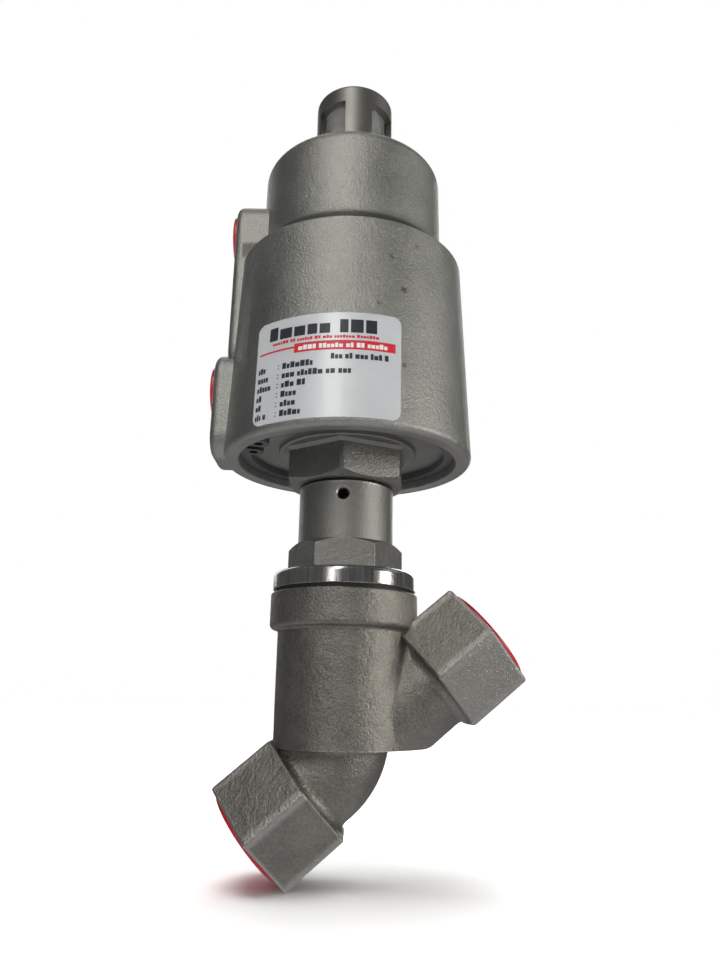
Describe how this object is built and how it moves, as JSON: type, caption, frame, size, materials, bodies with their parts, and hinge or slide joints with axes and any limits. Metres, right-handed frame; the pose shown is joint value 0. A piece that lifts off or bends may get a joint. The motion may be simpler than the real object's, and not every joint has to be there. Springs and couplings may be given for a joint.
{
  "type": "pneumatic actuated valve",
  "caption": "Stainless steel angle-seat valve with threaded ports, opened by a spring-return pneumatic piston actuator with a position indicator.",
  "frame": {"origin": "middle of the inlet port thread's outer end", "axes": "+Z along the stem towards the actuator, the flow axis rises from the inlet in the XZ plane 40 degrees above +X, and the air ports face -X"},
  "size_m": [0.0785, 0.0641, 0.2095],
  "materials": {
    "body_casting": "rough shell-cast stainless steel, browner than the housing",
    "housing_casting": "bead-blasted investment-cast stainless steel",
    "hub_casting": "as-cast stainless steel hexagon with a lightly machined plate",
    "turned_steel": "fine-turned stainless steel",
    "neck_steel": "dull machined stainless steel",
    "spring_steel": "oiled spring steel",
    "zinc_steel": "plated steel fasteners",
    "piston_alloy": "turned aluminium",
    "seal_rubber": "black seal rubber",
    "ptfe": "white filled PTFE",
    "bronze": "sintered bronze bush",
    "red_cap": "soft red polyethylene transport cap",
    "label": null,
    "indicator": "light grey indicator",
    "clear_sleeve": "clear polycarbonate sleeve, slightly hazed"
  },
  "bodies": {
    "valve": {"valve_body": "body_casting", "body_gasket": "seal_rubber", "bonnet": "neck_steel", "guide_bush": "bronze", "packing_spring": "spring_steel", "packing_washer": "turned_steel", "packing_rings": "ptfe", "gland_ring": "ptfe", "gland_circlip": "spring_steel", "neck_tube": "neck_steel", "neck_o_ring": "seal_rubber", "stem_guide": "bronze", "stem_seal": "seal_rubber", "swivel_ring": "spring_steel"},
    "actuator": {"base_plate": "hub_casting", "base_o_ring": "seal_rubber", "base_circlip": "spring_steel", "housing": "housing_casting", "nameplate": "label", "indicator_cage": "turned_steel", "window_sleeve": "clear_sleeve", "rod_o_ring": "seal_rubber", "outer_spring": "spring_steel", "inner_spring": "spring_steel"},
    "stem_train": {"stem": "turned_steel", "disc_holder": "turned_steel", "disc_seal": "ptfe", "disc_washer": "turned_steel", "disc_nut": "zinc_steel", "piston": "piston_alloy", "piston_seal": "seal_rubber", "piston_guide": "ptfe", "piston_washer": "zinc_steel", "piston_nut": "zinc_steel", "indicator_rod": "indicator"},
    "inlet_cap": {"inlet_cap": "red_cap"},
    "outlet_cap": {"outlet_cap": "red_cap"},
    "lower_air_plug": {"lower_air_plug": "red_cap"},
    "upper_air_plug": {"upper_air_plug": "red_cap"}
  },
  "joints": [
    {"name": "actuator_swivel", "type": "hinge", "parent": "valve", "child": "actuator", "pos_m": [0.01854, 0, 0.01555], "axis": [0, 0, 1], "continuous": true},
    {"name": "stem_lift", "type": "slide", "parent": "actuator", "child": "stem_train", "axis": [0, 0, 1], "range_m": [0, 0.009], "stiffness_N_per_m": 12000, "springref_m": -0.018, "deforming": ["outer_spring", "inner_spring"]},
    {"name": "inlet_cap_pull", "type": "slide", "parent": "valve", "child": "inlet_cap", "axis": [-0.766, 0, -0.6428], "range_m": [0, 0.03]},
    {"name": "outlet_cap_pull", "type": "slide", "parent": "valve", "child": "outlet_cap", "axis": [0.766, 0, 0.6428], "range_m": [0, 0.03]},
    {"name": "lower_plug_pull", "type": "slide", "parent": "actuator", "child": "lower_air_plug", "axis": [-1, 0, 0], "range_m": [0, 0.02]},
    {"name": "upper_plug_pull", "type": "slide", "parent": "actuator", "child": "upper_air_plug", "axis": [-1, 0, 0], "range_m": [0, 0.02]}
  ]
}
